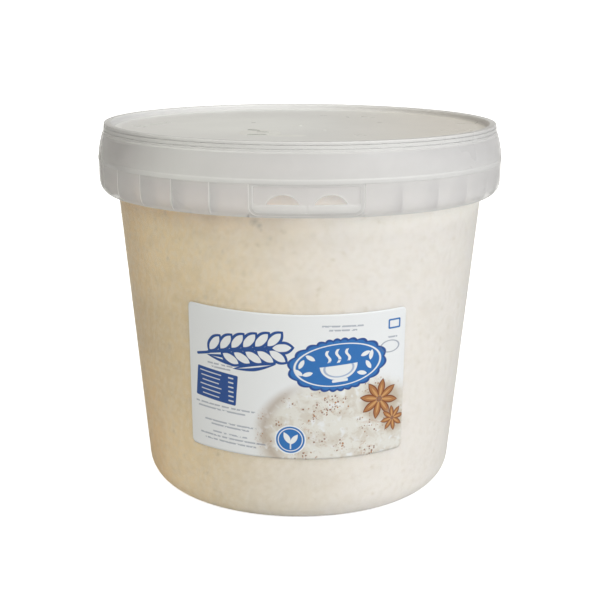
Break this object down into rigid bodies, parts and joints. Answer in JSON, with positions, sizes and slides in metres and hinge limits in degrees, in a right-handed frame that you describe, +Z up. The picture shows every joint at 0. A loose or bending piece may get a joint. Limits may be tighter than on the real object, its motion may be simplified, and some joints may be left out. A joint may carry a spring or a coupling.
{
  "type": "rice pudding in a lidded catering tub",
  "caption": "Creamy rice pudding filling a round tapered translucent tub, shut with a press-fit lid with a sunk panel; ribbed collar, tear-off tab and wrap label.",
  "frame": {"origin": "centre of the tub's foot, on the surface that it stands on", "axes": "+Z up, along the tub's axis; -Y towards the front, where the label and the tear-off tab are; +X to the right seen from the front"},
  "size_m": [0.226, 0.226, 0.2084],
  "materials": {
    "tub_plastic": "natural milky-clear polypropylene, satin gloss, 1.3 mm wall",
    "tab_plastic": "natural milky-clear polypropylene, satin gloss",
    "lid_plastic": "natural milky-clear polypropylene, satin, with bright moulded edges",
    "label_film": "smooth white printed film with blue fields and a plain cream and cinnamon design",
    "pudding": null
  },
  "bodies": {
    "root": {"tub": "tub_plastic", "tamper_tab": "tab_plastic", "lid": "lid_plastic", "label": "label_film", "pudding": "pudding"}
  },
  "joints": []
}
